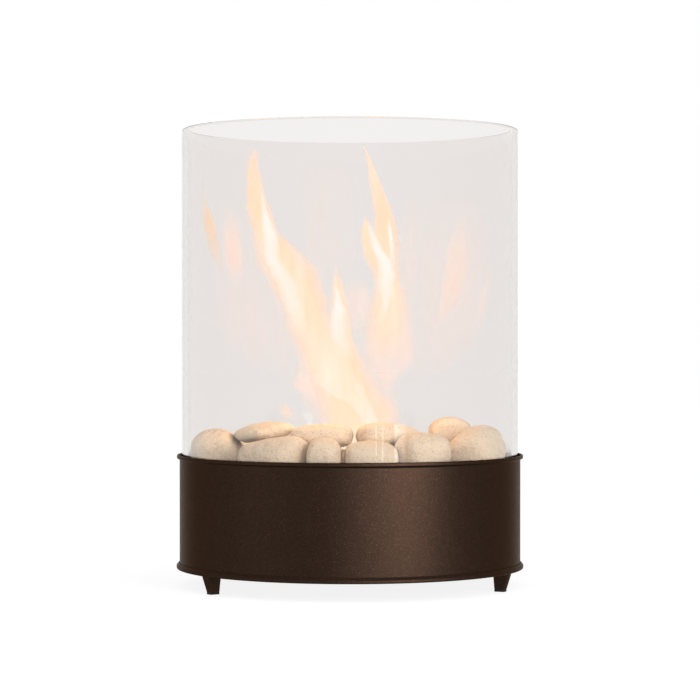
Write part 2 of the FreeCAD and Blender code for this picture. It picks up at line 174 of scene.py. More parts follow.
# %% Floor
floor_radius = 9.0
floor_glow = 0.82
floor_white = 0.9
floor_strength = (1 - (1 - floor_glow) * floor_white * sky_strength) / floor_glow
floor_mesh = bpy.data.meshes.new("floor")
floor_form = bmesh.new()
bmesh.ops.create_circle(floor_form, cap_ends=True, segments=96, radius=floor_radius)
floor_form.to_mesh(floor_mesh)
floor_form.free()
floor = bpy.data.objects.new("floor", floor_mesh)
scene.collection.objects.link(floor)
floor_material, floor_tree, floor_shader = new_material("pale floor")
floor_shader.inputs["Base Color"].default_value = (floor_white, floor_white, floor_white, 1)
floor_shader.inputs["Roughness"].default_value = 0.9
floor_shader.inputs["Specular IOR Level"].default_value = 0.0
glow = floor_tree.nodes.new("ShaderNodeEmission")
glow.inputs["Strength"].default_value = floor_strength
share = floor_tree.nodes.new("ShaderNodeMath")
share.operation = "MULTIPLY"
share.inputs[1].default_value = floor_glow
floor_mix = floor_tree.nodes.new("ShaderNodeMixShader")
floor_tree.links.new(seen_directly(floor_tree), share.inputs[0])
floor_tree.links.new(share.outputs[0], floor_mix.inputs[0])
floor_tree.links.new(floor_shader.outputs[0], floor_mix.inputs[1])
floor_tree.links.new(glow.outputs[0], floor_mix.inputs[2])
floor_out = next(node for node in floor_tree.nodes if node.type == "OUTPUT_MATERIAL")
floor_tree.links.new(floor_mix.outputs[0], floor_out.inputs["Surface"])
dress(floor, floor_material)
print("floor of radius", floor_radius, "m, glow strength", round(floor_strength, 3))

# %% [markdown]
# Five soft lamps. The main one stands to the right of the camera, and is tall and narrow, because the drum
# mirrors it as one broad upright band of light. The low strip is wide and reaches the drum and the feet
# only: it spreads that band out to both sides without bleaching the pebbles. The stone fill does the reverse
# and reaches the pebbles only, so that the drum doesn't mirror it. The last two lift the left side and the
# pebbles' tops. Light linking does this: each lamp has a collection that says what it lights. The pieces are
# put into these collections where they are made.

# %% Lamps
lamp_aim = Vector((0, 0, 0.12))
lamp_receivers = bpy.data.collections.new("lit by the lamps")
strip_receivers = bpy.data.collections.new("lit by the strip")
stone_receivers = bpy.data.collections.new("lit by the stone fill")


def softbox(name, bearing, distance, height, width, tall, power, receivers):
    """A flat lamp, aimed at the middle of the object, that lights what its receivers hold.

    The bearing is in degrees to the right of the camera's own, the lengths are metres, the power is watts.
    """
    lamp = bpy.data.lights.new(name, "AREA")
    lamp.shape = "RECTANGLE"
    lamp.size = width
    lamp.size_y = tall
    lamp.energy = power
    holder = bpy.data.objects.new(name, lamp)
    turn = camera_bearing + math.radians(bearing)
    holder.location = (distance * math.sin(turn), -distance * math.cos(turn), height)
    holder.rotation_euler = (lamp_aim - holder.location).to_track_quat("-Z", "Y").to_euler()
    scene.collection.objects.link(holder)
    holder.light_linking.receiver_collection = receivers
    return holder


softboxes = [
    softbox("main softbox", 35, 1.6, 0.35, 0.7, 1.5, 24, lamp_receivers),
    softbox("low strip", 29.5, 1.6, 0.28, 1.8, 0.5, 19, strip_receivers),
    softbox("stone fill", -6, 1.8, 0.25, 1.2, 0.6, 11, stone_receivers),
    softbox("left fill", -60, 1.8, 0.5, 1.2, 1.4, 4.5, lamp_receivers),
    softbox("top light", 10, 0.9, 1.7, 1.2, 1.2, 3.6, lamp_receivers),
]
print("soft lamps:", [lamp.name for lamp in softboxes])

# %% [markdown]
# The glass mirrors none of these lamps, because broad lamps in it would hide what stands behind it. What a
# photograph shows of a glass is often just a few bright streaks, the mirror images of narrow openings in the
# studio. Low, narrow lamps that light the glass alone make them, as upright streaks before the pebbles. A
# lamp's power is its brightness times pi times its area, so each streak keeps its brightness at any width.

# %% Streaks on the glass
streak_receivers = bpy.data.collections.new("mirrors the streaks")
streak_distance = 1.5
streak_tall = 65 * mm
# Bearing in degrees, width in millimetres, brightness.
streaks = [
    (16.8, 16, 2.6), (21.1, 30, 2.1), (29.8, 45, 2.4), (32.0, 16, 2.4), (33.8, 16, 2.0), (32.8, 190, 1.4),
]
for number, (bearing, width, brightness) in enumerate(streaks):
    power = brightness * math.pi * width * mm * streak_tall
    softbox("streak %d" % (number + 1), bearing, streak_distance, streak_tall / 2, width * mm, streak_tall,
            power, streak_receivers)
print("streaks on the glass:", len(streaks))

# %% [markdown]
# Two small effects turn up in several finishes, so each is a shader node group that is built once and placed
# in each material with its own values.
# The first, "mottle", is a slow, cloudy change around 1. It keeps a large surface from looking flat.

# %% Mottle group


def new_group(name, inputs, outputs):
    """A node group with float inputs and outputs, and its input and output nodes."""
    group = bpy.data.node_groups.new(name, "ShaderNodeTree")
    for label, value in inputs:
        socket = group.interface.new_socket(name=label, in_out="INPUT", socket_type="NodeSocketFloat")
        socket.default_value = value
    for label in outputs:
        group.interface.new_socket(name=label, in_out="OUTPUT", socket_type="NodeSocketFloat")
    return group, group.nodes.new("NodeGroupInput"), group.nodes.new("NodeGroupOutput")


def mottle_group():
    """Clouds around 1: their Scale per metre, and how far they swing."""
    group, given, result = new_group("mottle", [("Scale", 40.0), ("Swing", 0.3)], ["Factor"])
    place = group.nodes.new("ShaderNodeTexCoord")
    cloud = group.nodes.new("ShaderNodeTexNoise")
    cloud.inputs["Detail"].default_value = 5.0
    cloud.inputs["Roughness"].default_value = 0.6
    centred = group.nodes.new("ShaderNodeMath")
    centred.operation = "SUBTRACT"
    centred.inputs[1].default_value = 0.5
    swung = group.nodes.new("ShaderNodeMath")
    swung.operation = "MULTIPLY_ADD"
    swung.inputs[2].default_value = 1.0
    group.links.new(place.outputs["Object"], cloud.inputs["Vector"])
    group.links.new(given.outputs["Scale"], cloud.inputs["Scale"])
    group.links.new(cloud.outputs["Fac"], centred.inputs[0])
    group.links.new(centred.outputs[0], swung.inputs[0])
    group.links.new(given.outputs["Swing"], swung.inputs[1])
    group.links.new(swung.outputs[0], result.inputs["Factor"])
    return group


mottle = mottle_group()
print("node group:", mottle.name)

# %% [markdown]
# The second group, "fleck", marks scattered grains: bright metal flakes in a paint, or darker grains in a
# stone. A Voronoi texture cuts space into cells with a random colour each. That colour draws lots for which
# cells hold a grain, and the distance to the cell's middle makes the grain round.

# %% Fleck group


def fleck_group():
    """Scattered grains: their Scale per metre and the Share of cells that hold one; 1 inside a grain."""
    group, given, result = new_group("fleck", [("Scale", 2000.0), ("Share", 0.1)], ["Mask"])
    place = group.nodes.new("ShaderNodeTexCoord")
    cells = group.nodes.new("ShaderNodeTexVoronoi")
    lot = group.nodes.new("ShaderNodeSeparateColor")
    chosen = group.nodes.new("ShaderNodeMath")
    chosen.operation = "LESS_THAN"
    round_grain = group.nodes.new("ShaderNodeMapRange")
    round_grain.inputs["From Min"].default_value = 0.45
    round_grain.inputs["From Max"].default_value = 0.15
    both = group.nodes.new("ShaderNodeMath")
    both.operation = "MULTIPLY"
    group.links.new(place.outputs["Object"], cells.inputs["Vector"])
    group.links.new(given.outputs["Scale"], cells.inputs["Scale"])
    group.links.new(cells.outputs["Color"], lot.inputs[0])
    group.links.new(lot.outputs[0], chosen.inputs[0])
    group.links.new(given.outputs["Share"], chosen.inputs[1])
    group.links.new(cells.outputs["Distance"], round_grain.inputs["Value"])
    group.links.new(chosen.outputs[0], both.inputs[0])
    group.links.new(round_grain.outputs[0], both.inputs[1])
    group.links.new(both.outputs[0], result.inputs["Mask"])
    return group


fleck = fleck_group()
print("node group:", fleck.name)

# %% [markdown]
# Four steps come back in every finish: placing a group, blending two colours by a mask, scaling a number by
# a factor that varies, and raising a bump. A helper for each keeps the recipes that follow short.

# %% Shader helpers


def use_group(tree, group, **values):
    """The group placed in a material, with its own values."""
    placed = tree.nodes.new("ShaderNodeGroup")
    placed.node_tree = group
    for label, value in values.items():
        placed.inputs[label].default_value = value
    return placed.outputs[0]


def blend_colours(tree, mask, colour_a, colour_b):
    """Colour A where the mask is 0 and colour B where it is 1. Each is a colour or an output."""
    mix = tree.nodes.new("ShaderNodeMix")
    mix.data_type = "RGBA"
    tree.links.new(mask, mix.inputs["Factor"])
    for label, colour in (("A", colour_a), ("B", colour_b)):
        socket = next(s for s in mix.inputs if s.name == label and s.type == "RGBA")
        if isinstance(colour, tuple):
            socket.default_value = colour
        else:
            tree.links.new(colour, socket)
    return next(s for s in mix.outputs if s.type == "RGBA")


def scale_value(tree, factor, value):
    """A number times a varying factor."""
    product = tree.nodes.new("ShaderNodeMath")
    product.operation = "MULTIPLY"
    product.inputs[1].default_value = value
    tree.links.new(factor, product.inputs[0])
    return product.outputs[0]


def add_bump(tree, shader, height, distance, strength=1.0):
    """A bump of a real distance, in metres, on the shader's normal."""
    bump = tree.nodes.new("ShaderNodeBump")
    bump.inputs["Distance"].default_value = distance
    bump.inputs["Strength"].default_value = strength
    tree.links.new(height, bump.inputs["Height"])
    tree.links.new(bump.outputs["Normal"], shader.inputs["Normal"])


print("shader helpers for groups, colours, values and bumps")

# %% [markdown]
# The drum's finish is a bronze powder coat: nearly black brown, satin, with a fine metallic fleck and the
# slight orange-peel skin that baked powder has.
# It is made as dull metal with a very dark colour, so that it mirrors lamps in its own colour, as the fleck
# does on the real one. The flakes are lighter grains about a third of a millimetre wide. At a flat angle any
# metal mirrors white, so a brown specular tint keeps the drum's sides from going pale.

# %% Bronze powder coat
peel_depth = 0.12 * mm
cloud_shade = 0.82
coat_edge_tint = (0.58, 0.52, 0.49, 1)


def bronze_coat(name, dark, light, metallic, roughness):
    """Satin powder coat between two browns, with metal flakes and orange peel."""
    material, tree, shader = new_material(name)
    clouds = use_group(tree, mottle, Scale=55.0, Swing=1.6)
    flakes = use_group(tree, fleck, Scale=2600.0, Share=0.22)
    base = blend_colours(tree, clouds, dark, tuple(cloud_shade * c for c in dark[:3]) + (1.0,))
    colour = blend_colours(tree, flakes, base, light)
    tree.links.new(colour, shader.inputs["Base Color"])
    tree.links.new(scale_value(tree, use_group(tree, mottle, Scale=160.0, Swing=0.35), roughness),
                   shader.inputs["Roughness"])
    shader.inputs["Metallic"].default_value = metallic
    shader.inputs["Specular Tint"].default_value = coat_edge_tint
    peel = tree.nodes.new("ShaderNodeTexNoise")
    peel.inputs["Scale"].default_value = 900.0
    peel.inputs["Detail"].default_value = 3.0
    place = tree.nodes.new("ShaderNodeTexCoord")
    tree.links.new(place.outputs["Object"], peel.inputs["Vector"])
    add_bump(tree, shader, peel.outputs["Fac"], peel_depth, 0.5)
    return material


bronze = bronze_coat("bronze powder coat", paint(46, 34, 27), paint(86, 65, 52), 1.0, 0.4)
feet = ("front_left_foot", "front_right_foot", "rear_foot")
for name in ("base_band", "bottom_plate", "support_ring") + feet:
    dress(nodes[name], bronze)
tray_coat = bronze_coat("heat-proof tray coat", paint(34, 29, 26), paint(60, 52, 46), 0.4, 0.6)
dress(nodes["stone_tray"], tray_coat)
print("bronze on the drum and its feet, dark coat on the tray")

# %% [markdown]
# The burner is stainless steel, spun on a lathe, so its fine scratches run round the axis.
# A noise that is stretched along the angle and squeezed along the radius and the height gives that grain.

# %% Brushed stainless steel
scratches_per_metre = 5200.0
scratch_depth = 0.03 * mm
scratch_shade = 0.8


def spun_steel(name, colour, roughness):
    """Stainless steel with scratches round the Z axis."""
    material, tree, shader = new_material(name)
    place = tree.nodes.new("ShaderNodeTexCoord")
    parts = tree.nodes.new("ShaderNodeSeparateXYZ")
    flat = tree.nodes.new("ShaderNodeCombineXYZ")
    radius = tree.nodes.new("ShaderNodeVectorMath")
    radius.operation = "LENGTH"
    along = tree.nodes.new("ShaderNodeCombineXYZ")
    grain = tree.nodes.new("ShaderNodeTexNoise")
    grain.inputs["Scale"].default_value = 1.0
    grain.inputs["Detail"].default_value = 4.0
    tree.links.new(place.outputs["Object"], parts.inputs[0])
    tree.links.new(parts.outputs["X"], flat.inputs["X"])
    tree.links.new(parts.outputs["Y"], flat.inputs["Y"])
    tree.links.new(flat.outputs[0], radius.inputs[0])
    tree.links.new(scale_value(tree, radius.outputs["Value"], scratches_per_metre), along.inputs["X"])
    tree.links.new(scale_value(tree, parts.outputs["Z"], scratches_per_metre), along.inputs["Y"])
    tree.links.new(along.outputs[0], grain.inputs["Vector"])
    shader.inputs["Metallic"].default_value = 1.0
    scratched = tuple(scratch_shade * c for c in colour[:3]) + (1.0,)
    tree.links.new(blend_colours(tree, grain.outputs["Fac"], colour, scratched), shader.inputs["Base Color"])
    tree.links.new(scale_value(tree, use_group(tree, mottle, Scale=90.0, Swing=0.5), roughness),
                   shader.inputs["Roughness"])
    add_bump(tree, shader, grain.outputs["Fac"], scratch_depth, 0.6)
    return material


stainless = spun_steel("spun stainless steel", paint(196, 192, 186), 0.28)
for name in ("burner_pot", "burner_flange", "burner_top_ring", "wool_retainer"):
    dress(nodes[name], stainless)
zinc = spun_steel("zinc plating", paint(176, 178, 174), 0.4)
dress(nodes["foot_screws"], zinc)
print("steel on the burner and the screws")

# %% [markdown]
# Rubber and ceramic wool are both matt. The rubber needs only a dusty unevenness. The wool is a felt of
# white fibres, so its surface is broken up by a fine stretched noise in colour and height.

# %% Rubber and ceramic wool
bloom_lift = 1.7
fibre_depth = 0.6 * mm


def plain_rubber(name, colour, roughness):
    """Matt rubber with a faint bloom."""
    material, tree, shader = new_material(name)
    bloom = use_group(tree, mottle, Scale=220.0, Swing=1.2)
    lighter = tuple(min(1.0, bloom_lift * c) for c in colour[:3]) + (1.0,)
    tree.links.new(blend_colours(tree, bloom, lighter, colour), shader.inputs["Base Color"])
    tree.links.new(scale_value(tree, use_group(tree, mottle, Scale=400.0, Swing=0.3), roughness),
                   shader.inputs["Roughness"])
    shader.inputs["Specular IOR Level"].default_value = 0.3
    return material


def fibre_wool(name, light, dark):
    """Ceramic wool: tangled fibres between a light and a darker tone."""
    material, tree, shader = new_material(name)
    place = tree.nodes.new("ShaderNodeTexCoord")
    fibres = tree.nodes.new("ShaderNodeTexNoise")
    fibres.inputs["Scale"].default_value = 700.0
    fibres.inputs["Detail"].default_value = 6.0
    fibres.inputs["Distortion"].default_value = 2.5
    tree.links.new(place.outputs["Object"], fibres.inputs["Vector"])
    tree.links.new(blend_colours(tree, fibres.outputs["Fac"], dark, light), shader.inputs["Base Color"])
    shader.inputs["Roughness"].default_value = 1.0
    shader.inputs["Specular IOR Level"].default_value = 0.1
    add_bump(tree, shader, fibres.outputs["Fac"], fibre_depth)
    return material


rubber = plain_rubber("black rubber", paint(24, 22, 21), 0.75)
for name in ("glass_seat_gasket", "front_left_pad", "front_right_pad", "rear_pad"):
    dress(nodes[name], rubber)
wool = fibre_wool("ceramic wool", paint(240, 237, 229), paint(196, 190, 178))
dress(nodes["ceramic_wool"], wool)
print("rubber on the gasket and the pads, wool in the burner")

# %% [markdown]
# A pebble could be made from a sphere, but the frame already holds each pebble's real form and place, so the
# mesh is copied from there. A voxel remesh replaces the CAD net, whose faces are long and uneven, by small
# faces of one size, which a later step can push in anywhere.

# %% An even net
pebble_voxel = 1.1 * mm


def even_mesh(source, voxel, name):
    """The source's shape as an even net of faces about one voxel wide."""
    holder = bpy.data.objects.new("holder", source.data.copy())
    scene.collection.objects.link(holder)
    remesh = holder.modifiers.new("even", "REMESH")
    remesh.mode = "VOXEL"
    remesh.voxel_size = voxel
    remesh.use_smooth_shade = True
    soften = holder.modifiers.new("soften", "SMOOTH")
    soften.factor = 0.5
    soften.iterations = 3
    ready = holder.evaluated_get(bpy.context.evaluated_depsgraph_get())
    mesh = bpy.data.meshes.new_from_object(ready)
    mesh.name = name
    bpy.data.objects.remove(holder)
    return mesh


print("pebble faces are about", round(pebble_voxel / mm, 1), "mm wide")

# %% [markdown]
# Tumbled stone is worn but never even. Every point moves along its normal by layered noise: broad dents,
# flat ridges between them, a fine grit, and small pits that only some patches of the stone have. All of it
# goes inwards, and the result is stretched back to the box of the frame's pebble, so that no pebble grows
# into its neighbours.

# %% Worn skin of a pebble
dent_depth = 0.65 * mm
ridge_depth = 0.455 * mm
grit_depth = 0.16 * mm
pit_depth = 1.1 * mm
# Waves of each noise in a metre.
dent_waves = 70
ridge_waves = 130
grit_waves = 900
patch_waves = 60
pit_waves = 620
# How far the noise is lifted or lowered, which sets how much of the stone has patches, and a patch pits.
patch_lift = 0.15
pit_drop = 0.16


def roughen(mesh, seed):
    """Moves each point inwards by dents, ridges, grit and pits. The seed picks a place in the noise."""
    offset = Vector((seed * 1.7, seed * 0.9, seed * 2.3))
    places = [vertex.co.copy() for vertex in mesh.vertices]
    normals = [vertex.normal.copy() for vertex in mesh.vertices]
    for vertex, place, normal in zip(mesh.vertices, places, normals):
        dent = noise.noise(place * dent_waves + offset)
        ridge = abs(noise.noise(place * ridge_waves - offset))
        grit = noise.noise(place * grit_waves + offset)
        patch = max(0.0, noise.noise(place * patch_waves - offset) + patch_lift)
        pit = max(0.0, noise.noise(place * pit_waves + offset) - pit_drop)
        inwards = dent_depth * (0.5 - 0.5 * dent) + ridge_depth * (1 - ridge * 2)
        inwards += grit_depth * (0.5 - 0.5 * grit) + pit_depth * patch * pit
        vertex.co = place - normal * max(0.0, inwards)
    mesh.update()


def fit_box(mesh, low, high):
    """Stretches a mesh so that its box is the given one."""
    points = [vertex.co for vertex in mesh.vertices]
    mesh_low = Vector([min(p[a] for p in points) for a in range(3)])
    mesh_high = Vector([max(p[a] for p in points) for a in range(3)])
    for vertex in mesh.vertices:
        share = [(vertex.co[a] - mesh_low[a]) / (mesh_high[a] - mesh_low[a]) for a in range(3)]
        vertex.co = [low[a] + share[a] * (high[a] - low[a]) for a in range(3)]
    mesh.update()


print("pebble skin: dents of", round(dent_depth / mm, 2), "mm, pits of", round(pit_depth / mm, 2), "mm")

# %% [markdown]
# Where two pebbles touch, no light comes in from the sides and dust gathers, so the joint is dark and warm.
# A renderer shows that shadow, but too weakly for so soft a light, so the stone's colour carries painted
# shade there, along with the dust. Each point stores how close the nearest other pebble is, as an attribute
# that the stone's colour reads. A tree of the other's faces finds the closest one quickly.

# %% Painted shade in the crevices between pebbles
# How far the painted shade in the crevices reaches, and how quickly it fades.
crevice_shade_reach = 5.0 * mm
crevice_shade_fall = 1.8


def paint_crevice_shade(mesh, name, skins):
    """Stores an attribute of painted crevice shade: 1 where another pebble touches, 0 beyond the reach."""
    low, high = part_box(name)
    near = []
    for other, (skin, other_low, other_high) in skins.items():
        apart = max(max(low[a] - other_high[a], other_low[a] - high[a]) for a in range(3))
        if other != name and apart < crevice_shade_reach:
            near.append(skin)
    marks = []
    for vertex in mesh.vertices:
        closest = crevice_shade_reach
        for skin in near:
            distance = skin.find_nearest(vertex.co, closest)[3]
            if distance is not None:
                closest = min(closest, distance)
        marks.append((1 - closest / crevice_shade_reach) ** crevice_shade_fall)
    mesh.attributes.new("crevice_shade", "FLOAT", "POINT").data.foreach_set("value", marks)


print("crevices reach", round(crevice_shade_reach / mm, 1), "mm from a touching pebble")

# %% [markdown]
# The stone itself is cream, and cloudy like marble. Faint darker grains break the colour up, the crevices
# get a painted brown shade with some dust in it, and a sandy bump keeps the light from sliding over it as
# over porcelain.

# %% Pebble stone
sand_depth = 1.5 * mm
fleck_strength = 0.62
# How strongly the painted crevice shade, with its dust, darkens the stone.
crevice_shade_strength = 0.95


def pebble_material():
    """Cream tumbled stone: cloudy warm whites with darker grains, and painted brown shade with dust where
    pebbles touch.
    """
    material, tree, shader = new_material("cream pebble")
    clouds = use_group(tree, mottle, Scale=38.0, Swing=1.9)
    warm = blend_colours(tree, clouds, paint(246, 216, 180), paint(249, 229, 202))
    grains = use_group(tree, fleck, Scale=760.0, Share=0.38)
    speckled = blend_colours(tree, scale_value(tree, grains, fleck_strength), warm, paint(186, 154, 124))
    # Painted shade: the stone turns dark brown where another pebble is close, with some dust in that brown.
    crevice_shade = tree.nodes.new("ShaderNodeAttribute")
    crevice_shade.attribute_name = "crevice_shade"
    crevice_shade_amount = scale_value(tree, crevice_shade.outputs["Fac"], crevice_shade_strength)
    tree.links.new(blend_colours(tree, crevice_shade_amount, speckled, paint(84, 50, 34)), shader.inputs["Base Color"])
    tree.links.new(scale_value(tree, use_group(tree, mottle, Scale=120.0, Swing=0.3), 0.8),
                   shader.inputs["Roughness"])
    shader.inputs["Specular IOR Level"].default_value = 0.25
    place = tree.nodes.new("ShaderNodeTexCoord")
    sand = tree.nodes.new("ShaderNodeTexNoise")
    sand.inputs["Scale"].default_value = 430.0
    sand.inputs["Detail"].default_value = 6.0
    sand.inputs["Roughness"].default_value = 0.7
    tree.links.new(place.outputs["Object"], sand.inputs["Vector"])
    add_bump(tree, shader, sand.outputs["Fac"], sand_depth)
    return material


pebble_finish = pebble_material()
print("pebble finish:", pebble_finish.name)

# %% [markdown]
# Now every pebble of the frame gets its own skin. The number in its row is its seed, so that no two are
# alike and each run gives the same stones.

# %% Place the pebbles
pebble_names = sorted(name for name in nodes if "_stone_" in name)
pebble_skins = {}
for name in pebble_names:
    corners = [vertex.co for vertex in nodes[name].data.vertices]
    sides = [tuple(side.vertices) for side in nodes[name].data.polygons]
    pebble_skins[name] = (BVHTree.FromPolygons(corners, sides), *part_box(name))
for number, name in enumerate(pebble_names):
    pebble_mesh = even_mesh(nodes[name], pebble_voxel, "pebble_" + name)
    roughen(pebble_mesh, number + 1)
    fit_box(pebble_mesh, *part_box(name))
    paint_crevice_shade(pebble_mesh, name, pebble_skins)
    stone_receivers.objects.link(new_piece("pebble_" + name, pebble_mesh, "tray", pebble_finish, name))
print("pebbles:", len(pebble_names))

# %% [markdown]
# The glass is a cylinder four millimetres thick, open at both ends, with edges melted round in a flame.
# It shows best as one smooth surface turned about the axis, with many steps, because facets would break up
# its reflections. One helper rounds the corners of a closed section, and another turns the section.

# %% A section turned about the axis
arc_steps = 6
crease_angle = math.radians(40)


def rounded_section(corners, hold=0.4 * mm):
    """(radius, height) points of a closed section from corners (radius, height, rounding).

    A long straight run has one more point close to each end, which holds the smooth shading to the bend.
    """
    points = []
    count = len(corners)
    for i, (x, z, rounding) in enumerate(corners):
        here = Vector((x, z))
        if rounding <= 0:
            points.append(here)
            continue
        before = (Vector(corners[i - 1][:2]) - here).normalized()
        after = (Vector(corners[(i + 1) % count][:2]) - here).normalized()
        half = before.angle(after) / 2
        centre = here + (before + after).normalized() * rounding / math.sin(half)
        start = here + before * rounding / math.tan(half) - centre
        stop = here + after * rounding / math.tan(half) - centre
        sweep = start.angle_signed(stop)
        for step in range(arc_steps + 1):
            turn = -sweep * step / arc_steps
            points.append(centre + Vector((
                start.x * math.cos(turn) - start.y * math.sin(turn),
                start.x * math.sin(turn) + start.y * math.cos(turn))))
    held = []
    for i, point in enumerate(points):
        held.append(point)
        run = points[(i + 1) % len(points)] - point
        if run.length > 4 * hold:
            held.append(point + run.normalized() * hold)
            held.append(point + run - run.normalized() * hold)
    return held


def turned_mesh(name, section, steps=384):
    """The closed ring that a section sweeps about the Z axis."""
    mesh = bpy.data.meshes.new(name)
    points = []
    faces = []
    count = len(section)
    for step in range(steps):
        turn = 2 * math.pi * step / steps
        points += [(p.x * math.cos(turn), p.x * math.sin(turn), p.y) for p in section]
        ahead = (step + 1) % steps
        for i in range(count):
            j = (i + 1) % count
            faces.append((step * count + i, ahead * count + i, ahead * count + j, step * count + j))
    mesh.from_pydata(points, [], faces)
    form = bmesh.new()
    form.from_mesh(mesh)
    bmesh.ops.recalc_face_normals(form, faces=form.faces)
    form.to_mesh(mesh)
    form.free()
    mesh.polygons.foreach_set("use_smooth", [True] * len(mesh.polygons))
    mesh.set_sharp_from_angle(angle=crease_angle)
    return mesh


print("a rounded corner has", arc_steps, "steps")

# %% [markdown]
# The drum's wall is turned in the same way. Its lip is a folded bead, and seen from this low the bead's edge
# is the line where steel meets pebbles, so it has to be a clean curve. The radius and the heights come from
# the frame, and the lengths below say how far each bend stands from them.

# %% Drum wall
sheet = 0.8 * mm
lip_stands_out = 1.9 * mm
bead = 1.6 * mm
bead_round = 0.78 * mm
lip_starts = 2.6 * mm
neck_starts = 2.9 * mm
fold_ends = 2.2 * mm
slope_ends = 4.2 * mm
flange_stands_out = 1.3 * mm
flange_round = 0.3 * mm


def drum_section(low, high):
    """Wall, folded lip and turned-out flange, from the box of the drum in the frame."""
    lip = high.x
    wall = lip - lip_stands_out
    inside = wall - sheet
    flange = wall + flange_stands_out
    return rounded_section([
        (inside, low.z, 0),
        (flange, low.z, flange_round),
        (flange, low.z + sheet, flange_round),
        (wall, low.z + sheet, flange_round),
        (wall, high.z - neck_starts, 1.0 * mm),
        (lip, high.z - lip_starts, 0.6 * mm),
        (lip, high.z, bead_round),
        (lip - bead, high.z, bead_round),
        (lip - bead, high.z - fold_ends, 0.7 * mm),
        (inside, high.z - slope_ends, 1.5 * mm),
    ], hold=0.2 * mm)


drum_mesh = turned_mesh("drum_wall", drum_section(*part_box("base_band")))
drum_wall = new_piece("drum_wall", drum_mesh, "base", bronze, "base_band")
strip_receivers.objects.link(drum_wall)
for name in ("bottom_plate",) + feet:
    strip_receivers.objects.link(nodes[name])
print("drum wall of", len(drum_mesh.polygons), "faces")

# %% [markdown]
# Clear glass is a Principled shader with full transmission. Its slight grey comes half from a tint of the
# surfaces, which stands for a film of dust and soot, and half from absorption inside the wall, which grows
# with the way through the glass, so that the wall seen edge-on at both sides is as grey as the middle.
# Lamps would throw a hard dark shadow through solid glass, so for shadow rays it is simply see-through.
# The lamps' collection holds the glass alone, marked as left out, and so they light everything else.

# %% Glass
glass_wall = 4.0 * mm
glass_edge = 1.4 * mm
glass_tint = (0.948, 0.933, 0.926, 1)
glass_absorption = 100.0
glass_body = (0.87, 0.85, 0.83, 1)
glass_shadow = (0.93, 0.92, 0.91, 1)


def clear_glass():
    """Clear, slightly grey glass that lets the lamps through."""
    material, tree, shader = new_material("clear glass")
    shader.inputs["Base Color"].default_value = glass_tint
    shader.inputs["Roughness"].default_value = 0.0
    shader.inputs["IOR"].default_value = 1.45
    shader.inputs["Transmission Weight"].default_value = 1.0
    through = tree.nodes.new("ShaderNodeBsdfTransparent")
    through.inputs["Color"].default_value = glass_shadow
    path = tree.nodes.new("ShaderNodeLightPath")
    mix = tree.nodes.new("ShaderNodeMixShader")
    output = next(node for node in tree.nodes if node.type == "OUTPUT_MATERIAL")
    tree.links.new(path.outputs["Is Shadow Ray"], mix.inputs[0])
    tree.links.new(shader.outputs[0], mix.inputs[1])
    tree.links.new(through.outputs[0], mix.inputs[2])
    tree.links.new(mix.outputs[0], output.inputs["Surface"])
    body = tree.nodes.new("ShaderNodeVolumeAbsorption")
    body.inputs["Color"].default_value = glass_body
    body.inputs["Density"].default_value = glass_absorption
    tree.links.new(body.outputs[0], output.inputs["Volume"])
    return material


glass_low, glass_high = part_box("glass_cylinder")
glass_outer = glass_high.x
glass_inner = glass_outer - glass_wall
glass_section = rounded_section([
    (glass_inner, glass_low.z, glass_edge),
    (glass_outer, glass_low.z, glass_edge),
    (glass_outer, glass_high.z, glass_edge),
    (glass_inner, glass_high.z, glass_edge),
])
glass_mesh = turned_mesh("glass_tube", glass_section)
glass_tube = new_piece("glass_tube", glass_mesh, "glass", clear_glass(), "glass_cylinder")
lamp_receivers.objects.link(glass_tube)
lamp_receivers.collection_objects[0].light_linking.link_state = "EXCLUDE"
streak_receivers.objects.link(glass_tube)
print("glass of radius", round(glass_outer, 4), "and height", round(glass_high.z - glass_low.z, 4))

# %% [markdown]
# The fire is light, not a thing, but in a still picture it has a clear form: tongues that lean and split.
# A volume could hold it, but would be slow and soft at the edge. Here each tongue is a closed skin instead,
# and several thin, glowing skins lie inside each other, so that the edge is faint and the middle, where a
# sight line passes them all, is bright.
# A tongue is written down as rows from its foot to its tip. Each row is a left edge, a right edge and a
# height in millimetres, with the edges measured to the right of the axis as the camera sees it. The helpers
# draw a smooth curve through the rows, let the edges waver a little, and wrap a flat ellipse round each row.

# %% Flame skins
skin_steps = 40
steps_between_rows = 6
# Both waves of an edge: how far they go and how long they are, in millimetres.
slow_sway = 2.0
slow_length = 17.0
quick_sway = 1.6
quick_length = 5.5
# A row narrower than the first of these wavers less, no half row is thinner than the second, and a row wider
# than twice the third gets no deeper, all in millimetres.
full_waver_width = 12.0
least_half = 0.15
deepest_half = 16.0
side_density = 0.12


def smooth_rows(points):
    """More rows on a smooth curve through (left edge, right edge, height) points."""
    out = []
    for i in range(len(points) - 1):
        a = points[max(i - 1, 0)]
        b = points[i]
        c = points[i + 1]
        d = points[min(i + 2, len(points) - 1)]
        for s in range(steps_between_rows):
            t = s / steps_between_rows
            row = []
            for k in range(3):
                bend = 2 * a[k] - 5 * b[k] + 4 * c[k] - d[k]
                twist = 3 * b[k] - a[k] - 3 * c[k] + d[k]
                row.append(0.5 * (2 * b[k] + (c[k] - a[k]) * t + bend * t * t + twist * t ** 3))
            out.append(row)
    out.append(list(points[-1]))
    return out


def waver(height, side, depth):
    """How far an edge strays sideways at a height, in millimetres: slow sways with small rags on them.

    The side, -1 or 1, and the depth only pick another part of the noise for each edge and tongue.
    """
    slow = noise.noise(Vector((height / slow_length, side * 5.0, depth)))
    quick = noise.noise(Vector((height / quick_length, side * 9.0, depth + 3.0)))
    return slow_sway * slow + quick_sway * quick


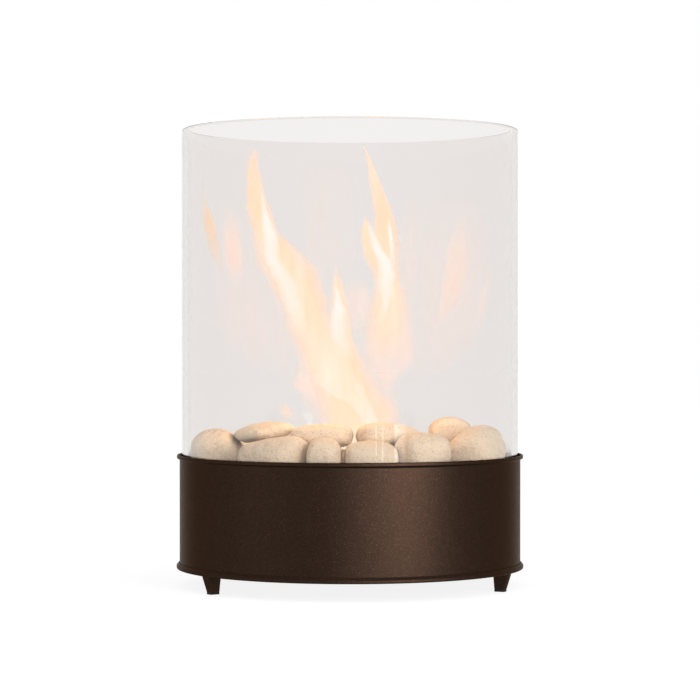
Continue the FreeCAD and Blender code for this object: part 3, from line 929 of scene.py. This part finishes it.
def tongue_mesh(name, edges, depth, share, flatness, fade, root):
    """A closed skin between two edges, at a share of its full width and a depth behind the burner's axis.

    The attribute "flame_density" is 1 in the middle of the front and the back and little at both sides. It
    grows over the share "root" above the foot and fades out over the share "fade" below the tip.
    """
    rows = smooth_rows(edges)
    points = []
    density = []
    for i, (left, right, height) in enumerate(rows):
        rise = i / (len(rows) - 1)
        room = min(1.0, (right - left) / full_waver_width)
        left += waver(height, -1.0, depth) * room
        right += waver(height, 1.0, depth) * room
        middle = (left + right) / 2
        half = max((right - left) / 2, least_half) * share
        strength = min(1.0, (1 - rise) / fade) * min(1.0, rise / root)
        for k in range(skin_steps):
            turn = 2 * math.pi * k / skin_steps
            sideways = middle + half * math.cos(turn)
            inwards = depth + min(half, deepest_half) * flatness * math.sin(turn)
            place = to_the_right * sideways - towards_camera * inwards
            points.append((place.x * mm, place.y * mm, height * mm))
            density.append((side_density + (1 - side_density) * abs(math.sin(turn))) * strength)
    faces = []
    for i in range(len(rows) - 1):
        lower = i * skin_steps
        upper = lower + skin_steps
        for k in range(skin_steps):
            j = (k + 1) % skin_steps
            faces.append((lower + k, lower + j, upper + j, upper + k))
    faces.append(tuple(range(skin_steps))[::-1])
    faces.append(tuple((len(rows) - 1) * skin_steps + k for k in range(skin_steps)))
    mesh = bpy.data.meshes.new(name)
    mesh.from_pydata(points, [], faces)
    mesh.polygons.foreach_set("use_smooth", [True] * len(mesh.polygons))
    layer = mesh.attributes.new("flame_density", "FLOAT", "POINT")
    layer.data.foreach_set("value", density)
    mesh.update()
    return mesh


print("a flame skin has", skin_steps, "points round each row")

# %% [markdown]
# A flame's skin only adds light: its base is black, it mirrors nothing, and all its colour is emission. Its
# alpha says how dense it is, and is broken into streaks by a noise that is stretched upwards. A second noise
# turns some strands to the hotter colour. The cells that follow need colours from nearly white in the hot
# cores to faint pink in the haze.

# %% Glow of the flame
grain_across = 75.0
grain_upwards = 11.0


def flame_material(name, colour, hot, strength, alpha, streaks):
    """A glowing skin between two colours: see-through, streaked upwards, as dense as its attribute."""
    material, tree, shader = new_material(name)
    shader.inputs["Base Color"].default_value = (0, 0, 0, 1)
    shader.inputs["Specular IOR Level"].default_value = 0.0
    shader.inputs["Roughness"].default_value = 1.0
    shader.inputs["Emission Strength"].default_value = strength
    place = tree.nodes.new("ShaderNodeTexCoord")
    stretch = tree.nodes.new("ShaderNodeMapping")
    stretch.inputs["Scale"].default_value = (grain_across, grain_across, grain_upwards)
    streak = tree.nodes.new("ShaderNodeTexNoise")
    streak.inputs["Scale"].default_value = 1.0
    streak.inputs["Detail"].default_value = 3.0
    streak.inputs["Distortion"].default_value = 0.4
    tree.links.new(place.outputs["Object"], stretch.inputs["Vector"])
    tree.links.new(stretch.outputs[0], streak.inputs["Vector"])
    strand = tree.nodes.new("ShaderNodeTexNoise")
    strand.inputs["Scale"].default_value = 1.6
    strand.inputs["Detail"].default_value = 2.0
    tree.links.new(stretch.outputs[0], strand.inputs["Vector"])
    glow = tree.nodes.new("ShaderNodeMapRange")
    glow.inputs["From Min"].default_value = 0.42
    glow.inputs["From Max"].default_value = 0.66
    tree.links.new(strand.outputs["Fac"], glow.inputs["Value"])
    tree.links.new(blend_colours(tree, glow.outputs[0], colour, hot), shader.inputs["Emission Color"])
    thin = tree.nodes.new("ShaderNodeMapRange")
    thin.inputs["From Min"].default_value = 0.35
    thin.inputs["From Max"].default_value = 0.65
    thin.inputs["To Min"].default_value = alpha * (1 - streaks)
    thin.inputs["To Max"].default_value = alpha * (1 + streaks)
    tree.links.new(streak.outputs["Fac"], thin.inputs["Value"])
    skin = tree.nodes.new("ShaderNodeAttribute")
    skin.attribute_name = "flame_density"
    dense = tree.nodes.new("ShaderNodeMath")
    dense.operation = "MULTIPLY"
    tree.links.new(thin.outputs[0], dense.inputs[0])
    tree.links.new(skin.outputs["Fac"], dense.inputs[1])
    tree.links.new(dense.outputs[0], shader.inputs["Alpha"])
    return material


flame_edge = flame_material("flame edge", (1.0, 0.64, 0.42, 1), (1.0, 0.70, 0.50, 1), 1.3, 0.32, 0.25)
flame_body = flame_material("flame body", (1.0, 0.72, 0.47, 1), (1.0, 0.83, 0.64, 1), 1.25, 0.33, 0.30)
flame_core = flame_material("flame core", (1.0, 0.97, 0.91, 1), (1.0, 0.99, 0.95, 1), 1.13, 0.50, 0.15)
flame_warm = flame_material("flame warm core", (1.0, 0.90, 0.74, 1), (1.0, 0.95, 0.86, 1), 1.17, 0.38, 0.3)
flame_root = flame_material("flame root", (1.0, 0.66, 0.52, 1), (1.0, 0.74, 0.62, 1), 1.35, 0.20, 0.4)
# The wedge is a painted reflection of the fire in the glass.
flame_wedge_reflection = flame_material("flame wedge reflection", (1.0, 0.58, 0.25, 1), (1.0, 0.64, 0.36, 1), 1.22, 0.36, 0.3)
flame_veil = flame_material("flame veil", (1.0, 0.60, 0.42, 1), (1.0, 0.68, 0.52, 1), 1.38, 0.18, 0.4)
# This haze serves the fire's own haze and the painted reflections of the fire in the glass.
flame_haze_and_reflection = flame_material("flame haze and reflection", (1.0, 0.62, 0.50, 1), (1.0, 0.68, 0.58, 1), 1.35, 0.085, 0.5)
flame_faint = flame_material("flame faint haze", (1.0, 0.62, 0.56, 1), (1.0, 0.68, 0.62, 1), 1.35, 0.035,
                             0.5)
print("flame materials from", flame_core.name, "to", flame_faint.name)

# %% [markdown]
# Three tongues make the fire's body: a long one that leans to the left and a short one in the middle, whose
# feet stand in the burner's mouth, and a right one with a thin strand beside it, which burns free above them.
# Each is made of three skins, one inside the other. They all ride with the burner.

# %% Tongues
left_tongue = [
    (-20, 22, 85), (-21.5, 27, 92), (-22, 36.5, 102), (-21.7, 37, 115), (-23, 33.5, 127),
    (-24.8, 25, 134), (-27.3, 19, 142), (-32, 13.5, 151), (-36.7, 8, 159), (-42.2, -2, 173),
    (-48, -12.5, 190), (-52.5, -14, 200), (-57.8, -18.2, 212), (-64.5, -23.9, 224.5),
    (-68.4, -36.6, 237), (-69.8, -43.3, 243), (-70.1, -50.8, 250), (-72.5, -53.6, 260),
    (-73.6, -58.6, 271.5), (-74.2, -61.5, 284), (-73.4, -62.4, 294), (-72.2, -63.2, 300),
    (-70.8, -63.4, 304.5), (-69, -64.5, 308),
]
middle_tongue = [
    (-14, 18, 86), (-15, 19, 98), (-15, 18, 112), (-15, 14, 130), (-16, 11, 146), (-16, 6.5, 160.6),
    (-14, 2, 177.7), (-14, 0, 191.8), (-13.6, -1.2, 197.6), (-13, -4, 210.3), (-12.2, -6.2, 218),
    (-11, -8.4, 225),
]
right_tongue = [
    (9, 42, 158), (8.8, 44, 168), (9.4, 43.5, 179), (11.4, 42, 193), (14.8, 40.8, 203),
    (16.2, 37.5, 214.6), (14, 35.4, 223), (11.6, 35.4, 229), (9, 35.7, 237), (10, 35.3, 243),
    (14.5, 34.2, 250), (17, 33, 256), (16.8, 31.6, 262), (15.6, 28.2, 270), (14.4, 24.2, 279),
    (12.8, 19.4, 291), (11, 15, 301), (9.2, 11.6, 308), (8, 9, 312),
]
right_strand = [
    (11.5, 20, 222), (9.6, 19, 230), (8, 17.6, 239), (7.6, 16.2, 246), (8.2, 14.6, 251.5),
    (9.4, 13.4, 256), (10.6, 11.8, 260.5),
]
# Name, rows, depth, flatness, and the shares of the height over which it fades at the tip and at the root.
tongues = [
    ("left", left_tongue, 0.0, 0.62, 0.22, 0.12),
    ("right", right_tongue, 6.0, 0.66, 0.2, 0.2),
    ("strand", right_strand, 2.0, 0.7, 0.3, 0.6),
    ("middle", middle_tongue, -5.0, 0.8, 0.3, 0.12),
]
tongue_skins = [(1.0, flame_edge), (0.8, flame_body), (0.55, flame_body)]
for name, edges, depth, flatness, fade, root in tongues:
    for number, (share, material) in enumerate(tongue_skins):
        mesh = tongue_mesh("flame_%s_%d" % (name, number + 1), edges, depth, share, flatness, fade, root)
        new_piece(mesh.name, mesh, "burner", material)
print("tongues:", len(tongues), "of", len(tongue_skins), "skins each")

# %% [markdown]
# Inside each tongue the gas burns hottest along narrow cores, which look nearly white. They stand a little
# nearer to the camera than the tongues, because a core behind a glowing skin takes on the skin's colour.

# %% Bright cores
left_core = [
    (-33, -21, 166), (-38, -26, 177), (-42.4, -29.5, 187), (-46.2, -32.4, 197), (-50.8, -36.6, 209),
    (-55.4, -42.4, 220), (-59.4, -47.6, 231.6), (-61, -50.8, 243), (-61.4, -54, 253),
    (-61.8, -57, 262), (-62.6, -59.6, 271), (-63.4, -61.8, 279),
]
middle_core = [
    (-5, 5, 144), (-8.4, 3, 156), (-10.4, 1.2, 166), (-12, -0.6, 175), (-12.6, -1.8, 186),
    (-12, -3.4, 196), (-11.2, -6.4, 204), (-10.8, -8.6, 210.5),
]
right_core = [
    (19.3, 22.2, 182), (20.8, 25.1, 190), (21.5, 28.6, 199), (20, 31.4, 207), (19.3, 32.8, 214.6),
    (20, 32.1, 221.6), (18.6, 27.2, 230), (14.4, 22.2, 238.6), (12.3, 17.9, 248.6),
    (11.6, 13.7, 257),
]
right_core_edge = [
    (28.6, 32.5, 223), (27.9, 31.4, 234), (26.9, 30, 247), (26.2, 27.9, 257),
]
cores = [
    ("left", left_core, -12.0), ("middle", middle_core, -11.5),
    ("right", right_core, -7.0), ("edge", right_core_edge, -7.0),
]
core_shares = (1.0, 0.6)
core_flatness = 0.7
core_fade = 0.3
core_root = 0.75
for name, edges, depth in cores:
    for number, share in enumerate(core_shares):
        mesh = tongue_mesh("flame_core_%s_%d" % (name, number + 1), edges, depth, share, core_flatness,
                           core_fade, core_root)
        new_piece(mesh.name, mesh, "burner", flame_core)
print("bright cores:", len(cores))

# %% [markdown]
# Round the tongues hang thin veils: the warm roots of the fire, a lick that has torn off, and the pale
# haze and wedges on both sides, which are painted reflections: glowing skins put where the glass mirrors the
# fire. One skin is enough for each, because they have no bright middle.

# %% Veils and painted reflections
low_core = [
    (6, 16, 88), (9, 21, 101), (7.3, 20, 115), (1.6, 15.8, 125), (-15, 11.5, 135),
    (-24.5, 6.5, 143.6), (-26, 1.5, 152), (-28, -3, 160.6), (-32, -11, 172), (-37, -20, 184),
]
right_root = [
    (24.5, 27.5, 131), (23.2, 29, 138), (19.3, 33.5, 146), (15.8, 41.3, 152), (12.2, 45.5, 158),
    (11.5, 46.4, 170), (12.2, 45, 178), (15.8, 42.7, 190), (19, 41, 200),
]
left_root = [
    (-27, -21, 130), (-36.7, -23.9, 136), (-40.2, -23.9, 141), (-38.8, -24.6, 147), (-36, -27, 155),
    (-36.7, -31, 164),
]
low_veil = [
    (-24, 34, 112), (-30, 34, 122), (-38, 34, 134), (-41, 36, 146), (-36, 42, 158), (-30, 44, 170),
]
left_veil = [
    (-84, -80.6, 215), (-86, -77.5, 221), (-88.5, -76.3, 227), (-90, -76.3, 236), (-90.5, -78, 248),
    (-90.5, -80, 258), (-91, -84, 268),
]
left_wedge_reflection = [
    (-92.4, -89.6, 219), (-96.6, -90.2, 228), (-99.5, -91.5, 235), (-101.4, -92.4, 243),
    (-103, -94, 250), (-104.2, -96, 257), (-105, -98.8, 264), (-105.8, -102, 271),
    (-106, -103.8, 286),
]
left_haze_reflection = [
    (-48, -24, 139.5), (-66.4, -30, 151), (-79.3, -34, 160.6), (-89.2, -38, 172), (-95.6, -45, 189),
    (-97.7, -56, 214.6), (-97, -62, 235), (-99, -68, 255), (-102, -74, 275),
]
middle_haze = [
    (-1, 8, 175), (-1.5, 13, 187), (-3, 15, 199), (-2, 13, 210), (3, 10, 218),
]
right_veil = [
    (58, 61.5, 184), (62.2, 72, 193), (64.7, 79, 205), (66.8, 82, 217), (68, 83.5, 228),
    (69.5, 84, 238), (72, 84, 248), (76, 84, 256), (82, 86, 262),
]
right_wisp = [
    (84, 91, 182), (89, 95, 192), (92, 98, 203), (95, 100, 214), (98, 101, 226), (99, 101, 238),
]
right_haze_reflection = [
    (30, 45, 139.5), (34, 70, 150), (38, 82.4, 160.6), (40, 93.8, 179), (38, 99.4, 200),
    (34, 100.2, 229), (34, 99, 250), (40, 96, 268), (62, 92, 280),
]
centre_haze = [
    (-8, 4, 205), (-26, 6, 222), (-34, 6, 245), (-36, 4, 270), (-34, 2, 295), (-20, -6, 306),
]
small_lick = [
    (-45.5, -39.8, 116), (-48.3, -40.5, 120.4), (-49.7, -42.6, 124.7), (-49, -46, 129),
]
# The left wedge and the haze on both sides are painted reflections of the fire in the glass.
# Name, rows, depth, material, and the shares of the height over which it fades at the tip and at the root.
veils = [
    ("low_core", low_core, -16.0, flame_warm, 0.4, 0.2),
    ("right_root", right_root, 12.0, flame_root, 0.4, 0.3),
    ("left_root", left_root, 12.0, flame_root, 0.5, 0.3),
    ("low", low_veil, 14.0, flame_veil, 0.5, 0.3),
    ("lick", small_lick, -4.0, flame_edge, 0.5, 0.5),
    ("left", left_veil, 8.0, flame_veil, 0.4, 0.3),
    ("left_wedge_reflection", left_wedge_reflection, 2.0, flame_wedge_reflection, 0.4, 0.6),
    ("left_haze_reflection", left_haze_reflection, 20.0, flame_haze_and_reflection, 0.5, 0.35),
    ("middle_haze", middle_haze, 18.0, flame_root, 0.4, 0.4),
    ("right", right_veil, 10.0, flame_veil, 0.4, 0.3),
    ("right_wisp", right_wisp, 4.0, flame_haze_and_reflection, 0.3, 0.3),
    ("right_haze_reflection", right_haze_reflection, 22.0, flame_haze_and_reflection, 0.4, 0.35),
    ("centre_haze", centre_haze, 26.0, flame_faint, 0.3, 0.3),
]
veil_flatness = 0.4
for name, edges, depth, material, fade, root in veils:
    mesh = tongue_mesh("flame_veil_%s" % name, edges, depth, 1.0, veil_flatness, fade, root)
    new_piece(mesh.name, mesh, "burner", material)
scene.cycles.transparent_max_bounces = 32
print("veils:", len(veils))

# %% [markdown]
# The fire lights the pebbles round it. Its glowing skins are too faint to do that by themselves, so two
# small warm lamps stand inside the flame, hidden from the camera, from mirrors and behind the glass.

# %% Light of the fire
fire_colour = (1.0, 0.55, 0.22)


def fire_lamp(name, across, height, depth, power, radius):
    """A small warm lamp inside the flame, which only lights. The lengths are metres, the power is watts."""
    lamp = bpy.data.lights.new(name, "POINT")
    lamp.energy = power
    lamp.color = fire_colour
    lamp.shadow_soft_size = radius
    holder = bpy.data.objects.new(name, lamp)
    place = to_the_right * across - towards_camera * depth
    holder.location = (place.x, place.y, height)
    holder.visible_camera = False
    holder.visible_glossy = False
    holder.visible_transmission = False
    scene.collection.objects.link(holder)
    return holder


low_fire = fire_lamp("low fire", -0.008, 0.165, -0.03, 0.18, 0.03)
high_fire = fire_lamp("high fire", -0.012, 0.21, -0.03, 0.135, 0.05)
print("fire lamps at heights", round(low_fire.location.z, 3), "and", round(high_fire.location.z, 3), "m")
